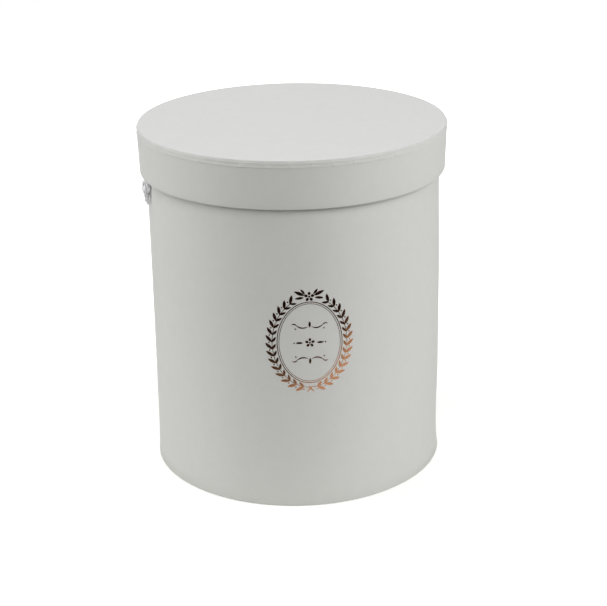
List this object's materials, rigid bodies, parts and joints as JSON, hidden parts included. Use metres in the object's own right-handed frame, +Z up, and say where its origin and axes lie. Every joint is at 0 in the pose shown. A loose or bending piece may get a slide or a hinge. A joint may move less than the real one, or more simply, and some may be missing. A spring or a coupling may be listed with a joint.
{
  "type": "round gift box",
  "caption": "Round paper-covered board box with an overlapping lift-off lid, a stamped foil emblem and a knotted cord handle.",
  "frame": {"origin": "centre of the underside", "axes": "+Z up, along the box and out through the lid; -Y to the front, where the emblem is; X through the two cord holes"},
  "size_m": [0.21, 0.2092, 0.2424],
  "materials": {
    "cover_paper": "uncoated pale grey-white covering paper, glued to the board",
    "lining_paper": "smooth white lining paper",
    "grey_board": "grey board",
    "copper_foil": "hot-stamped rose-gold foil",
    "twisted_cord": "three-strand twisted white satin cord"
  },
  "bodies": {
    "body": {"body_tube": "grey_board", "body_wrap": "cover_paper", "body_lining": "lining_paper", "base_board": "grey_board", "base_lining": "lining_paper", "base_cover": "cover_paper", "foil_border": "copper_foil", "foil_ornament": "copper_foil", "handle_cord": "twisted_cord", "left_knot": "twisted_cord", "right_knot": "twisted_cord"},
    "lid": {"lid_board": "grey_board", "skirt_ring": "grey_board", "lid_top_paper": "cover_paper", "lid_wrap": "cover_paper", "skirt_lining": "lining_paper", "lid_lining": "lining_paper"}
  },
  "joints": [
    {"name": "lid_lift", "type": "slide", "parent": "body", "child": "lid", "axis": [0, 0, 1], "range_m": [0, 0.06]}
  ]
}
